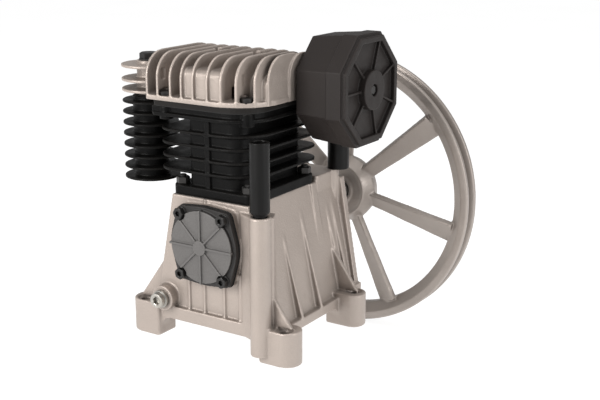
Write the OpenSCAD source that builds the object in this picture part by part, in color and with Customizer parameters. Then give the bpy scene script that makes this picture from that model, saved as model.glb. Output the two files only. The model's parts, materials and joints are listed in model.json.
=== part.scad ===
// Belt-driven two-cylinder air compressor head: crankcase, cylinder block, finned head with cooler
// column, air filter and fan flywheel, with the crankshaft, bearings, pistons and valves inside.
// Frame: origin midway between the four mounting holes on the base plane, +Y from the front cover
// to the flywheel along the shaft, +X to the air filter, +Z up. The flywheel hangs below the base.

/* [Base and crankcase] */
// Distance between the mounting holes across the shaft
foot_x = 173; // [170:1:176]
// Distance between the mounting holes along the shaft
foot_y = 133; // [131:1:135]
// Diameter of a mounting hole
foot_hole_d = 10; // [8:0.5:11]
// Height of a foot
foot_h = 35; // [33:1:37]
// Height of the shaft axis above the base plane
shaft_z = 108; // [107:0.5:110]
// Half width of the crankcase at its top
case_top_w = 46.6; // [46:0.2:48]
// Half width of the crankcase at its skirt
case_low_w = 73.5; // [72:0.5:75]
// Thickness of the crankcase walls
case_wall = 5; // [4:0.5:6]

/* [Cylinders] */
// Bore of a cylinder
bore_d = 47; // [46:0.5:47]
// Stroke of a piston
stroke = 38; // [36:1:38]
// Distance between the two cylinder axes
bore_pitch = 54; // [54:0.5:56]
// Place of the front cylinder axis along the shaft
bore_y1 = -35; // [-36:0.5:-35]
// Radial clearance of a piston in its bore
piston_gap = 0.04; // [0.02:0.01:0.08]
// Number of fins on the block below its top flange
block_fins = 4; // [3:1:4]
// Spacing of the block fins
block_fin_pitch = 13.2; // [12.8:0.1:13.4]

/* [Head and cooler] */
// Height of the head from its base plate to the top of its fins
head_h = 47; // [44:1:48]
// Thickness of a head fin
head_fin_t = 2.6; // [2:0.2:3.2]
// Radius of the cooler fins
cooler_r = 28.8; // [27:0.2:29]
// Number of fins on the lower cooler column
cooler_fins = 8; // [6:1:8]
// Spacing of the cooler fins
cooler_pitch = 11.35; // [11:0.05:11.4]

/* [Air filter] */
// Distance across two opposite flats of the filter housing
filter_af = 111; // [108:1:112]
// Depth of the filter housing from its back to its front rim
filter_depth = 56.5; // [55:0.5:58]

/* [Flywheel] */
// Diameter of the flywheel
wheel_d = 320; // [310:2:324]
// Width of the flywheel rim
rim_w = 24; // [22:1:26]
// Number of fan-blade spokes
spokes = 7; // [5:1:8]
// Pitch of the spokes out of the plane of the wheel
spoke_pitch = 27; // [20:1:32]

/* [Hidden] */
$fn = 64;
eps = 0.01;

// Colours
CAST = [0.76, 0.72, 0.68];
WHEEL = [0.62, 0.59, 0.57];
BLACK = [0.09, 0.09, 0.09];
PLASTIC = [0.25, 0.23, 0.22];
GREY = [0.52, 0.52, 0.52];
STEEL = [0.62, 0.63, 0.65];
ZINC = [0.8, 0.8, 0.82];
GASKET = [0.12, 0.12, 0.12];

// Stack of faces from the crankcase to the head
gasket_t = 0.6;
case_top = shaft_z + 44.4;
flange_z = case_top + gasket_t;
flange_t = 9;
block_top = shaft_z + 131;
deck_t = 0.8;
plate_z = block_top + deck_t;
plate_t = 4.4;
head_z = plate_z + plate_t + deck_t;
skirt_z = 20;
skirt_x = 78;
foot_in_x = 62;
foot_in_y = 49;

// Walls of the crankcase along the shaft
front_y = -68;
cover_y = -74;
rear_y = 97;
front_in = -54;
rear_in = 84;

// Cover outline and bolts
cover_r = 40;
cover_bx = 25.6;
cover_bz = 31;

// Flange of the block on the crankcase
flange_w = 47.6;
flange_y0 = -66;
flange_y1 = 49.5;
stud_x = 40;
stud_foot = 137;
stud_y0 = -58;
stud_y1 = 41.5;

// Crank train
throw = stroke / 2;
pin_r = 11;
rod_len = 86;
pin_w = 20;
bore_y = [bore_y1, bore_y1 + bore_pitch];
web_t = 8;
front_j = 10;
rear_j = 15;
gudgeon_r = 6.5;
crown_h = 24.2;
skirt_h = 20;
ring_z = [5.5, 9.5, 13.5];
big_r = 16;
rod_bolt_x = 18;
piston_r = bore_d / 2 - piston_gap;
plug_r = 4;
run_gap = 0.03;
crank_sign = [1, -1];

// Bearings: inner radius, outer radius, width, front face, balls, ball radius
front_brg = [10, 23.5, 14, -70, 8, 4];
rear_brg = [15, 31, 16, 84, 9, 4.75];

// Head plan and bolts
head_x0 = -76;
head_x1 = 52.5;
head_y0 = -68.5;
head_y1 = 52;
head_bolt = [[-58, -59], [33.5, -50], [-58, 43], [33.5, 40]];
bolt_seat = 3.5;
bolt_head = 5.5;
mid_bolt = [[-25, -8], [21, -8]];
core_top = 30;
bulge_h = 33;
duct_h = 18;
cap_h = 32;
cap_fin_z = [head_z + 27.5, head_z + 13.4, head_z + 2.8];

// Cooler column
cooler_x = -105;
cooler_y = -27.4;
cooler_body_r = 18.3;

// Filter
filter_x = 55.5;
filter_y = 53;
filter_z = shaft_z + 146;
inlet_y = 23;
inlet_z = head_z + 17;
inlet_r = 9;
neck_r = 16.5;
neck_x = 50;

// Tubes
filler_x = 64;
filler_y = -74;
filler_top = 147;
plug_x = -55;
plug_y = -79;
plug_z = 43.2;
breather_x = 50;
breather_y = 93;
vent_x = 44.5;
vent_y = 88;
pipe_x = 47.5;
pipe_y = 87.5;
shelf_z = 158;

// Flywheel
wheel_y = 185.5;
hub_y = 180;
hub_r = 31.4;
hub_end = 222;
shaft_end = 218;
wheel_r = wheel_d / 2;

// --- shapes used again and again -----------------------------------------------------------------

// Extrudes a shape drawn in X and Z from y0 to y1
module along_y(y0, y1) {
    translate([0, y1, 0]) rotate([90, 0, 0]) linear_extrude(y1 - y0) children();
}

// Extrudes a shape drawn in Y and Z from x0 to x1
module along_x(x0, x1) {
    translate([x0, 0, 0]) rotate([90, 0, 90]) linear_extrude(x1 - x0) children();
}

// Cylinder along Y
module rod_y(r, y0, y1, x = 0, z = shaft_z, n = 64) {
    translate([x, y0, z]) rotate([-90, 0, 0]) cylinder(r = r, h = y1 - y0, $fn = n);
}

// Cylinder along X
module rod_x(r, x0, x1, y = 0, z = 0, n = 64) {
    translate([x0, y, z]) rotate([0, 90, 0]) cylinder(r = r, h = x1 - x0, $fn = n);
}

// Cylinder along Z
module rod_z(r, z0, z1, x = 0, y = 0, n = 64) {
    translate([x, y, z0]) cylinder(r = r, h = z1 - z0, $fn = n);
}

// Solid of revolution about the shaft axis, drawn as [radius, y] points
module turned(points) {
    translate([0, 0, shaft_z]) rotate([-90, 0, 0]) rotate_extrude() polygon(points);
}

// Corner of an outline: points on an arc of radius r about c, from angle a to angle a + 90
function corner(c, r, a, n = 10) =
    [for (i = [0:n]) c + r * [cos(a + 90 * i / n), sin(a + 90 * i / n)]];

// Rectangle with its own radius at each corner: front left, front right, rear right, rear left
function outline(x0, x1, y0, y1, r) = concat(
    corner([x0 + r[0], y0 + r[0]], r[0], 180),
    corner([x1 - r[1], y0 + r[1]], r[1], 270),
    corner([x1 - r[2], y1 - r[2]], r[2], 0),
    corner([x0 + r[3], y1 - r[3]], r[3], 90));

// Plate of a given outline from z0 to z1
module slab(points, z0, z1) {
    translate([0, 0, z0]) linear_extrude(z1 - z0) polygon(points);
}

// Hexagon-headed bolt pointing down from z, with a round shank of length l
module bolt_down(x, y, z, head_af, head_t, shank_r, l) {
    translate([x, y, z]) {
        cylinder(d = head_af / cos(30), h = head_t, $fn = 6);
        translate([0, 0, -l]) cylinder(r = shank_r, h = l + eps, $fn = 24);
    }
}

// --- crankcase -----------------------------------------------------------------------------------

function case_w(z) =
    case_top_w + (case_low_w - case_top_w) * (case_top - z) / (case_top - skirt_z);

module case_profile(inset, z0, z1) {
    polygon([[-case_w(z0) + inset, z0], [case_w(z0) - inset, z0],
             [case_w(z1) - inset, z1], [-case_w(z1) + inset, z1]]);
}

module foot(sx, sy) {
    mirror([sx < 0 ? 1 : 0, 0, 0]) mirror([0, sy < 0 ? 1 : 0, 0])
        slab(outline(foot_in_x, foot_x / 2 + 14.5, foot_in_y, foot_y / 2 + 10.5, [2, 12, 14, 3]),
             0, foot_h);
}

// Fillets that round the openings under the skirt, between the feet
module arch_fillets() {
    r = 11;
    for (mx = [0, 1], my = [0, 1]) mirror([mx, 0, 0]) mirror([0, my, 0]) {
        along_y(60, 72.5) translate([foot_in_x - r, skirt_z - r]) difference() {
            square(r + eps);
            circle(r);
        }
        along_x(66, skirt_x) translate([foot_in_y - r, skirt_z - r]) difference() {
            square(r + eps);
            circle(r);
        }
    }
}

// Triangular web on a foot, leaning on the side wall
module foot_gusset(sx, y) {
    web = 5;
    top = 85;
    along_y(y - web / 2, y + web / 2)
        polygon([[sx * (case_w(top) - 2), top], [sx * (foot_x / 2 + 8), foot_h - eps],
                 [sx * 60, foot_h - eps]]);
}

// Tapering rib on the side wall, deepest at the skirt
module side_rib(sx, y, top, reach) {
    rib = 4;
    along_y(y - rib / 2, y + rib / 2)
        polygon([[sx * (case_w(top) - 1), top], [sx * (case_w(30) + reach), 30],
                 [sx * (case_w(30) - 3), 30]]);
}

// Cover outline: a disc with an ear at each bolt
module cover_shape(grow = 0) {
    hull() {
        circle(cover_r + grow, $fn = 72);
        for (sx = [-1, 1], sz = [-1, 1])
            translate([sx * cover_bx, sz * cover_bz]) circle(7 + grow, $fn = 32);
    }
}

module crankcase_outside() {
    along_y(front_y, rear_y) case_profile(0, skirt_z, case_top);
    // skirt band round the foot of the walls
    translate([-skirt_x, -72.5, skirt_z]) cube([2 * skirt_x, 12, 14]);
    translate([-skirt_x, -72.5, skirt_z]) cube([2 * skirt_x, rear_y + 72.5, 10]);
    translate([-skirt_x, 70, skirt_z]) cube([2 * skirt_x, rear_y - 70, 14]);
    for (sx = [-1, 1], sy = [-1, 1]) foot(sx, sy);
    for (sx = [-1, 1], sy = [-1, 1]) foot_gusset(sx, sy * (foot_y / 2 - 3));
    arch_fillets();
    for (sx = [-1, 1]) {
        side_rib(sx, -20, 128, 7);
        side_rib(sx, 16.5, 146, 7);
        side_rib(sx, 66, 150, 5);
        side_rib(sx, 77, 150, 5);
        // pilaster under the rear corner of the block flange
        along_y(40, 50) polygon([[sx * 40, case_top], [sx * (flange_w + 1.4), case_top],
                                 [sx * case_w(88), 88], [sx * 40, 88]]);
        // flat rear flange
        along_y(rear_y - 8, rear_y) polygon([[sx * 40, shelf_z - 4], [sx * 55, shelf_z - 8],
                                             [sx * (case_w(30) + 4), 30], [sx * 40, 30]]);
    }
    // raised shelf behind the block
    slab(outline(-49, 49, flange_y1 + 1.5, rear_y, [3, 3, 8, 8]), 140, shelf_z);
    rod_z(8, 120, shelf_z + 1, vent_x, vent_y);
    // boss of the front bearing and cover
    translate([0, 0, shaft_z]) along_y(cover_y, front_y + eps) cover_shape();
    // ribs on the front wall
    for (x = [-27, -7.5, 17, 36])
        translate([x - 1.5, front_y - 2.5, 30]) cube([3, 3, 52]);
    translate([-6, front_y - 1.5, 140]) cube([2, 2, case_top - 140]);
    // corner column of the oil filler and the wall that joins it
    rod_z(10.5, 7, filler_top, filler_x, filler_y);
    slab([[36, front_y], [40, -71.5], [58, -78], [70, -72], [73, -64], [66, -50], [40, -50]],
         skirt_z, filler_top - 2);
    // boss of the oil plug
    rod_y(13, plug_y, -60, plug_x, plug_z);
    // ring of the rear bearing carrier
    rod_y(49, rear_y - 14, rear_y);
}

module crankcase() color(CAST) difference() {
    crankcase_outside();
    // oil sump and crank chamber, with bosses left for the studs
    difference() {
        along_y(front_in, rear_in) case_profile(case_wall, skirt_z + 6, case_top - 6);
        for (x = [-stud_x, stud_x], y = [stud_y0, stud_y1]) rod_z(6.5, stud_foot - 2, case_top, x, y);
    }
    // openings for the cylinders, the bearings and the carrier
    for (y = bore_y) rod_z(bore_d / 2 + 3.2, 140, shelf_z + 3, 0, y);
    rod_y(front_brg[1], cover_y - 1, front_brg[3] + front_brg[2]);
    rod_y(20, cover_y - 1, front_in + 1);
    rod_y(38, rear_in - 16, rear_y + 1);
    // mounting holes with a spot face
    for (sx = [-1, 1], sy = [-1, 1]) {
        rod_z(foot_hole_d / 2, -1, foot_h + 1, sx * foot_x / 2, sy * foot_y / 2);
        rod_z(8.5, foot_h - 2, foot_h + 1, sx * foot_x / 2, sy * foot_y / 2);
    }
    // threads of the studs, the cover bolts and the carrier bolts
    for (x = [-stud_x, stud_x], y = [stud_y0, stud_y1])
        rod_z(4, stud_foot, shelf_z + 3, x, y, 32);
    for (x = [-cover_bx, cover_bx], z = [-cover_bz, cover_bz])
        rod_y(3, cover_y - 1, -56, x, shaft_z + z, 32);
    for (a = [30:60:330])
        rod_y(3, rear_y - 12, rear_y + 1, 43 * cos(a), shaft_z + 43 * sin(a), 32);
    // oil plug, filler and breather passages
    rod_y(7, plug_y - 1, -50, plug_x, plug_z);
    rod_z(6.6, 90, filler_top + 4, filler_x, filler_y);
    translate([filler_x, filler_y, 97]) rotate([0, 0, 135]) rod_x(5, 0, 36);
    rod_z(3, case_top - 12, shelf_z + 3, vent_x, vent_y, 32);
    translate([vent_x, vent_y, case_top - 9]) rotate([0, 0, -135]) rod_x(2.4, 0, 10, 0, 0, 32);
}

module front_cover() color(GREY) {
    plate_y = cover_y - 1;
    rib = 2;
    difference() {
        union() {
            translate([0, 0, shaft_z]) along_y(plate_y - 5, plate_y) cover_shape();
            rod_y(36.5, plate_y - 9, plate_y);
            rod_y(7.5, plate_y - 12, plate_y);
            for (a = [0:45:315])
                translate([0, 0, shaft_z]) rotate([0, -a, 0])
                    translate([0, plate_y - 11, -rib / 2]) cube([37.5, 11, rib]);
            rod_y(front_brg[1] - eps, plate_y - 1, front_brg[3]);
        }
        rod_y(17, plate_y - 3, front_brg[3] + 1);
        for (x = [-cover_bx, cover_bx], z = [-cover_bz, cover_bz]) {
            rod_y(3.3, plate_y - 12, plate_y + 1, x, shaft_z + z, 32);
            rod_y(7, plate_y - 12, plate_y - 5, x, shaft_z + z, 32);
        }
    }
}

module cover_gasket() color(GASKET) difference() {
    translate([0, 0, shaft_z]) along_y(cover_y - 1, cover_y) cover_shape(0.8);
    rod_y(front_brg[1] + 0.5, cover_y - 2, cover_y + 1);
    for (x = [-cover_bx, cover_bx], z = [-cover_bz, cover_bz])
        rod_y(3.3, cover_y - 2, cover_y + 1, x, shaft_z + z, 32);
}

module cover_bolts() color(BLACK)
    for (x = [-cover_bx, cover_bx], z = [-cover_bz, cover_bz]) difference() {
        union() {
            rod_y(2.95, cover_y - 6, -58, x, shaft_z + z, 32);
            rod_y(6.4, cover_y - 7.4, cover_y - 6, x, shaft_z + z, 32);
            translate([x, cover_y - 13, shaft_z + z]) rotate([-90, 0, 0])
                cylinder(d = 11.4, h = 6, $fn = 6);
        }
        rod_y(2.6, cover_y - 14, cover_y - 10, x, shaft_z + z, 6);
    }

// --- rear bearing carrier --------------------------------------------------------------------------

module rear_carrier() color(CAST) difference() {
    turned([[rear_brg[1], rear_in], [37.9, rear_in], [37.9, rear_y + 0.8], [48, rear_y + 0.8],
            [48, rear_y + 8], [36.5, rear_y + 8], [34, rear_y + 10], [30, rear_y + 27], [18, rear_y + 27],
            [18, rear_y + 24], [26, rear_y + 24], [26, rear_y + 14], [22, rear_y + 14],
            [22, rear_brg[3] + rear_brg[2]], [rear_brg[1], rear_brg[3] + rear_brg[2]]]);
    for (a = [30:60:330])
        rod_y(3.3, rear_y - 1, rear_y + 12, 43 * cos(a), shaft_z + 43 * sin(a), 32);
}

module carrier_gasket() color(GASKET) difference() {
    rod_y(48, rear_y, rear_y + 0.8);
    rod_y(38, rear_y - 1, rear_y + 2);
    for (a = [30:60:330])
        rod_y(3.3, rear_y - 1, rear_y + 2, 43 * cos(a), shaft_z + 43 * sin(a), 32);
}

module carrier_bolts() color(BLACK)
    for (a = [30:60:330]) {
        x = 43 * cos(a);
        z = shaft_z + 43 * sin(a);
        rod_y(2.95, rear_y - 10, rear_y + 9, x, z, 32);
        translate([x, rear_y + 8, z]) rotate([-90, 0, 0]) cylinder(d = 10 / cos(30), h = 4, $fn = 6);
    }

// --- ball bearings: b is one of the bearing lists --------------------------------------------------

function brg_pitch(b) = (b[0] + b[1]) / 2;

module race(b, r0, r1) {
    groove = b[5] + 0.03;
    translate([0, 0, shaft_z]) rotate([-90, 0, 0]) rotate_extrude() difference() {
        translate([r0, b[3]]) square([r1 - r0, b[2]]);
        translate([brg_pitch(b), b[3] + b[2] / 2]) circle(groove);
    }
}

// Balls in a pressed ring with one round pocket for each
module ball_cage(b) {
    mid = b[3] + b[2] / 2;
    half_w = b[5] + 1.2;
    half_t = 1.4;
    r = brg_pitch(b);
    difference() {
        turned([[r - half_t, mid - half_w], [r + half_t, mid - half_w],
                [r + half_t, mid + half_w], [r - half_t, mid + half_w]]);
        for (i = [1:b[4]]) translate([0, mid, shaft_z]) rotate([0, 360 * i / b[4], 0])
            rod_x(b[5] + 0.1, r - 4, r + 4, 0, 0, 32);
    }
    for (i = [1:b[4]]) translate([0, mid, shaft_z]) rotate([0, 360 * i / b[4], 0])
        translate([r, 0, 0]) sphere(b[5], $fn = 32);
}

module front_bearing_outer() color(STEEL) race(front_brg, brg_pitch(front_brg) + 2, front_brg[1]);
module front_bearing_inner() color(STEEL) race(front_brg, front_brg[0], brg_pitch(front_brg) - 2);
module rear_bearing_outer() color(STEEL) race(rear_brg, brg_pitch(rear_brg) + 2.5, rear_brg[1]);
module rear_bearing_inner() color(STEEL) race(rear_brg, rear_brg[0], brg_pitch(rear_brg) - 2.5);
module front_ball_cage() color(STEEL) ball_cage(front_brg);
module rear_ball_cage() color(STEEL) ball_cage(rear_brg);

module shaft_seal() color(BLACK)
    turned([[rear_j + run_gap, rear_y + 17], [17, rear_y + 14], [26, rear_y + 14],
            [26, rear_y + 23], [24, rear_y + 23], [24, rear_y + 16], [18, rear_y + 16],
            [rear_j + run_gap, rear_y + 19]]);

// --- crankshaft -------------------------------------------------------------------------------------

// Web between two places on the shaft, reaching out to the crankpin on side s, with a counterweight
module crank_web(y0, y1, s, counterweight) {
    along_y(y0, y1) translate([0, shaft_z]) {
        translate([0, s * throw]) circle(pin_r + 2);
        circle(front_j + 4);
        polygon([[-13, 0], [13, 0], [12, s * throw], [-12, s * throw]]);
        if (counterweight) intersection() {
            circle(41);
            polygon([[-13, 0], [13, 0], [34, -s * 26], [30, -s * 50], [-30, -s * 50], [-34, -s * 26]]);
        }
    }
}

module crankshaft() color(STEEL) difference() {
    front_web = bore_y[0] - pin_w / 2;
    mid_0 = bore_y[0] + pin_w / 2;
    mid_1 = bore_y[1] - pin_w / 2;
    rear_web = bore_y[1] + pin_w / 2;
    union() {
        rod_y(front_j, front_brg[3] - 1, front_web);
        crank_web(front_web - web_t, front_web, 1, true);
        rod_y(pin_r, front_web, mid_0, 0, shaft_z + throw);
        crank_web(mid_0, mid_0 + web_t, 1, false);
        rod_y(front_j + 6, mid_0, mid_1);
        crank_web(mid_1 - web_t, mid_1, -1, false);
        rod_y(pin_r, mid_1, rear_web, 0, shaft_z - throw);
        crank_web(rear_web, rear_web + web_t, -1, true);
        rod_y(rear_j + 3, rear_web, rear_brg[3]);
        rod_y(rear_j, rear_brg[3] - 1, hub_y - 10);
        rod_y(11, hub_y - 11, shaft_end);
    }
    // holes of the web plugs, the flywheel key seat and the flywheel bolt
    rod_y(plug_r + run_gap, mid_1 - 6, mid_1 + 1, 0, shaft_z + throw / 2);
    rod_y(plug_r + run_gap, mid_0 - 1, mid_0 + 6, 0, shaft_z - throw / 2);
    translate([-3, hub_y + 8, shaft_z + 7]) cube([6, 26, 8]);
    rod_y(4, shaft_end - 22, shaft_end + 1, 0, shaft_z, 32);
}

module web_plug(i) color(STEEL) {
    face = i == 0 ? bore_y[1] - pin_w / 2 - 5.8 : bore_y[0] + pin_w / 2;
    rod_y(plug_r, face, face + 5.8, 0, shaft_z + crank_sign[i] * throw / 2);
}

// --- pistons and connecting rods ---------------------------------------------------------------------

function pin_z(i) = shaft_z + crank_sign[i] * throw + rod_len;

module piston(i) color(STEEL) translate([0, bore_y[i], pin_z(i)]) difference() {
    union() {
        difference() {
            rod_z(piston_r, -skirt_h, crown_h);
            rod_z(piston_r - 3, -skirt_h - 1, crown_h - 6);
        }
        for (s = [-1, 1]) rod_y(gudgeon_r + 4, s < 0 ? -20.5 : 9, s < 0 ? -9 : 20.5, 0, 0);
    }
    rod_y(gudgeon_r, -30, 30, 0, 0);
    for (z = ring_z) difference() {
        rod_z(piston_r + 1, crown_h - z, crown_h - z + 2);
        rod_z(piston_r - 2.2, crown_h - z - 1, crown_h - z + 3);
    }
    for (y = [-20.4, 19.4]) rod_y(gudgeon_r + 0.7, y, y + 1, 0, 0);
}

module piston_rings(i) color(STEEL) translate([0, bore_y[i], pin_z(i)])
    for (z = ring_z) difference() {
        rod_z(bore_d / 2 - 0.01, crown_h - z + 0.05, crown_h - z + 1.95);
        rod_z(piston_r - 2, crown_h - z - 1, crown_h - z + 3);
        translate([0, -0.3, crown_h - z - 1]) cube([40, 0.6, 4]);
    }

module gudgeon_pin(i) color(STEEL) translate([0, bore_y[i], pin_z(i)]) difference() {
    rod_y(gudgeon_r, -19.3, 19.3, 0, 0);
    rod_y(3.5, -20, 20, 0, 0);
}

module circlips(i) color(STEEL) translate([0, bore_y[i], pin_z(i)])
    for (y = [-20.35, 19.45]) difference() {
        rod_y(gudgeon_r + 0.6, y, y + 0.9, 0, 0);
        rod_y(gudgeon_r - 1, y - 1, y + 2, 0, 0);
        translate([-1.5, y - 1, -9]) cube([3, 3, 9]);
    }

module con_rod(i) color(CAST) translate([0, bore_y[i], shaft_z + crank_sign[i] * throw]) difference() {
    union() {
        rod_y(11, -8, 8, 0, rod_len);
        rod_y(big_r, -8.5, 8.5, 0, 0);
        along_y(-5, 5) polygon([[-9, 8], [9, 8], [6.5, rod_len - 6], [-6.5, rod_len - 6]]);
        translate([-rod_bolt_x - 5, -8.5, 0.05]) cube([2 * rod_bolt_x + 10, 17, 9]);
    }
    rod_y(gudgeon_r + run_gap, -9, 9, 0, rod_len);
    rod_y(pin_r + run_gap, -10, 10, 0, 0);
    translate([-30, -10, -30]) cube([60, 20, 30.05]);
    for (x = [-rod_bolt_x, rod_bolt_x]) rod_z(2.5, -1, 7, x, 0, 24);
}

module rod_cap(i) color(CAST) translate([0, bore_y[i], shaft_z + crank_sign[i] * throw]) difference() {
    union() {
        rod_y(big_r, -8.5, 8.5, 0, 0);
        translate([-rod_bolt_x - 5, -8.5, -9]) cube([2 * rod_bolt_x + 10, 17, 9]);
        // dipper that throws oil up from the sump
        along_y(-2, 2) polygon([[-5, -14], [5, -14], [2.5, -30], [-2.5, -30]]);
    }
    rod_y(pin_r + run_gap, -10, 10, 0, 0);
    translate([-30, -10, 0]) cube([60, 20, 30]);
    for (x = [-rod_bolt_x, rod_bolt_x]) rod_z(2.7, -10, 1, x, 0, 24);
}

module rod_bolts(i) color(BLACK) translate([0, bore_y[i], shaft_z + crank_sign[i] * throw])
    for (x = [-rod_bolt_x, rod_bolt_x]) {
        rod_z(2.45, -9, 6, x, 0, 24);
        translate([x, 0, -13]) cylinder(d = 8 / cos(30), h = 4, $fn = 6);
    }

// --- cylinder block ------------------------------------------------------------------------------------

flange_plan = outline(-flange_w, flange_w, flange_y0, flange_y1, [7, 7, 7, 7]);
top_plan = outline(-73, 47, -66.5, 50, [6, 38, 26, 8]);
fin_plan = outline(-70, 46, -65, 66, [20, 38, 20, 18]);

module head_holes(r, z0, z1) {
    for (p = concat(head_bolt, mid_bolt)) rod_z(r, z0, z1, p[0], p[1], 32);
}

module cylinder_block() color(BLACK) difference() {
    fin = 2.8;
    union() {
        slab(flange_plan, flange_z, flange_z + flange_t);
        slab(outline(-31, 33, -60.8, 45.5, [7, 16, 8, 8]), flange_z, block_top);
        for (i = [1:block_fins])
            slab(fin_plan, block_top - 8.5 - i * block_fin_pitch - fin,
                 block_top - 8.5 - i * block_fin_pitch);
        slab(top_plan, block_top - 9.5, block_top - 6);
        slab(outline(-52, 44, -62.5, 46, [3, 32, 14, 8]), block_top - 7, block_top);
        // bosses of the head bolts
        for (p = head_bolt) rod_z(7, block_top - 13, block_top, p[0], p[1]);
        translate([-72, -65, block_top - 7]) cube([10, 14, 7]);
        translate([-72, 32, block_top - 7]) cube([20, 14, 7]);
        // upright rib on the front
        translate([-8, -64, flange_z + flange_t]) cube([6, 6, 68]);
        for (x = [-stud_x, stud_x], y = [stud_y0, stud_y1])
            rod_z(7, flange_z + flange_t - 1, flange_z + flange_t + 1, x, y);
        for (y = bore_y) rod_z(bore_d / 2 + 3, flange_z - 6, flange_z + 1, 0, y);
    }
    for (y = bore_y) {
        rod_z(bore_d / 2, flange_z - 7, block_top + 1, 0, y);
        translate([19, y - 6.5, block_top - 0.8]) cube([13, 13, 2]);
    }
    for (x = [-stud_x, stud_x], y = [stud_y0, stud_y1])
        rod_z(4.4, flange_z - 1, flange_z + 14, x, y, 32);
    for (p = head_bolt) rod_z(4, block_top - 11, block_top + 1, p[0], p[1], 32);
    for (p = mid_bolt) rod_z(4, block_top - 30, block_top + 1, p[0], p[1], 32);
}

module base_gasket() color(GASKET) difference() {
    slab(flange_plan, case_top, flange_z);
    for (y = bore_y) rod_z(bore_d / 2 + 3.2, case_top - 1, flange_z + 1, 0, y);
    for (x = [-stud_x, stud_x], y = [stud_y0, stud_y1])
        rod_z(4.4, case_top - 1, flange_z + 1, x, y, 32);
}

module base_nuts() color(BLACK)
    for (x = [-stud_x, stud_x], y = [stud_y0, stud_y1]) {
        face = flange_z + flange_t + 1;
        rod_z(3.95, stud_foot + 1, face + 8.5, x, y, 32);
        translate([x, y, face]) cylinder(d = 12 / cos(30), h = 6.5, $fn = 6);
    }

// --- valve plate and valves -----------------------------------------------------------------------------

plate_plan = outline(-71, 46, -65.5, 49.5, [5, 32, 26, 6]);
port_x = 11;
reed_t = 0.5;

module deck_gasket() color(GASKET) difference() {
    slab(plate_plan, block_top, plate_z);
    for (y = bore_y) {
        rod_z(bore_d / 2, block_top - 1, plate_z + 1, 0, y);
        translate([0, y - 6.5, block_top - 1]) cube([32, 13, 3]);
    }
    head_holes(4.4, block_top - 1, plate_z + 1);
}

module valve_plate() color(STEEL) difference() {
    slab(plate_plan, plate_z, plate_z + plate_t);
    for (y = bore_y, x = [-port_x, port_x])
        rod_z(4, plate_z - 1, plate_z + plate_t + 1, x, y, 32);
    head_holes(4.4, plate_z - 1, plate_z + plate_t + 1);
    for (s = crank_sign) rod_z(2, plate_z - 1, plate_z + plate_t + 1, -port_x, -8 - s * 5, 24);
}

module head_gasket() color(GASKET) difference() {
    slab(plate_plan, plate_z + plate_t, head_z);
    chamber(-1, plate_z + plate_t - 1, head_z + 1);
    chamber(1, plate_z + plate_t - 1, head_z + 1);
    head_holes(4.4, plate_z + plate_t - 1, head_z + 1);
}

// Suction (s = 1) or discharge (s = -1) chamber in the head
module chamber(s, z0, z1) {
    if (s > 0) translate([3, -50, z0]) cube([12.5, 84, z1 - z0]);
    if (s < 0) translate([-19, -50, z0]) cube([16, 84, z1 - z0]);
}

module suction_reed(i) color(STEEL)
    translate([0, bore_y[i], plate_z - 0.1 - reed_t]) linear_extrude(reed_t) {
        translate([8, -5.5]) square([22, 11]);
        translate([8, 0]) circle(5.5);
    }

// Discharge reed of cylinder i: its root is near the middle of the block
module discharge_reed(i) color(STEEL) difference() {
    s = crank_sign[i];
    root = -8 - s * 2;
    tip = bore_y[i] - s * 6;
    translate([-port_x - 5.5, min(root, tip), plate_z + plate_t + 0.05])
        cube([11, abs(root - tip), reed_t]);
    rod_z(2.6, plate_z, plate_z + 20, -port_x, -8 - s * 5, 24);
}

module reed_stops() color(STEEL) difference() {
    seat = plate_z + plate_t + 0.12 + reed_t;
    for (s = crank_sign)
        along_x(-port_x - 5, -port_x + 5)
            polygon([[-8 - s * 1.5, seat], [-8 - s * 2, seat], [-8 - s * 9, seat + 0.45],
                     [-8 - s * 33, seat + 1.9], [-8 - s * 33, seat + 4.4], [-8 - s * 9, seat + 3],
                     [-8 - s * 1.5, seat + 3]]);
    for (s = crank_sign) rod_z(2.2, plate_z, plate_z + 20, -port_x, -8 - s * 5, 24);
}

module reed_screws() color(STEEL)
    for (s = crank_sign) {
        rod_z(1.95, plate_z + 0.5, plate_z + plate_t + 4, -port_x, -8 - s * 5, 24);
        translate([-port_x, -8 - s * 5, plate_z + plate_t + reed_t + 3.12])
            cylinder(r = 2.9, h = 2, $fn = 6);
    }

// --- cylinder head ----------------------------------------------------------------------------------------

fin_x = [-74.7, -61.5, -45.5, -32, -18, -1, 14.5, 29, 42.9, 49.6];

// Points of a curve from a to c that leaves and arrives towards b
function bend(a, b, c, n = 10) =
    [for (i = [0:n]) let (t = i / n) a * pow(1 - t, 2) + 2 * b * t * (1 - t) + c * t * t];

// Right-hand edge of the head: round at the front corner, then leaning out to the filter
front_edge = concat(bend([8, head_y0], [30, head_y0 + 2], [43.5, -51]),
                    bend([43.5, -51], [50, -42], [head_x1, -28]));
rear_edge = bend([head_x1, 22], [head_x1, head_y1], [22, head_y1]);
head_plan = concat(corner([head_x0 + 3, head_y0 + 3], 3, 180, 4), front_edge, rear_edge,
                   corner([head_x0 + 4, head_y1 - 4], 4, 90, 4));

// Where the front and rear edges of the plan lie at a place across the head
function plan_front(x) = lookup(x, front_edge);
function plan_rear(x) = lookup(x, rear_edge);

// Outline of a head fin in Y and Z: upright at its ends and rounded over at the top
function fin_profile(y0, y1, h, rf, rr) = concat(
    [[y1, head_z], [y1, head_z + h - rr]],
    [for (i = [1:10]) [y1 - rr + rr * cos(9 * i), head_z + h - rr + rr * sin(9 * i)]],
    [for (i = [0:10]) [y0 + rf - rf * sin(9 * i), head_z + h - rf + rf * cos(9 * i)]],
    [[y0, head_z]]);

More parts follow.
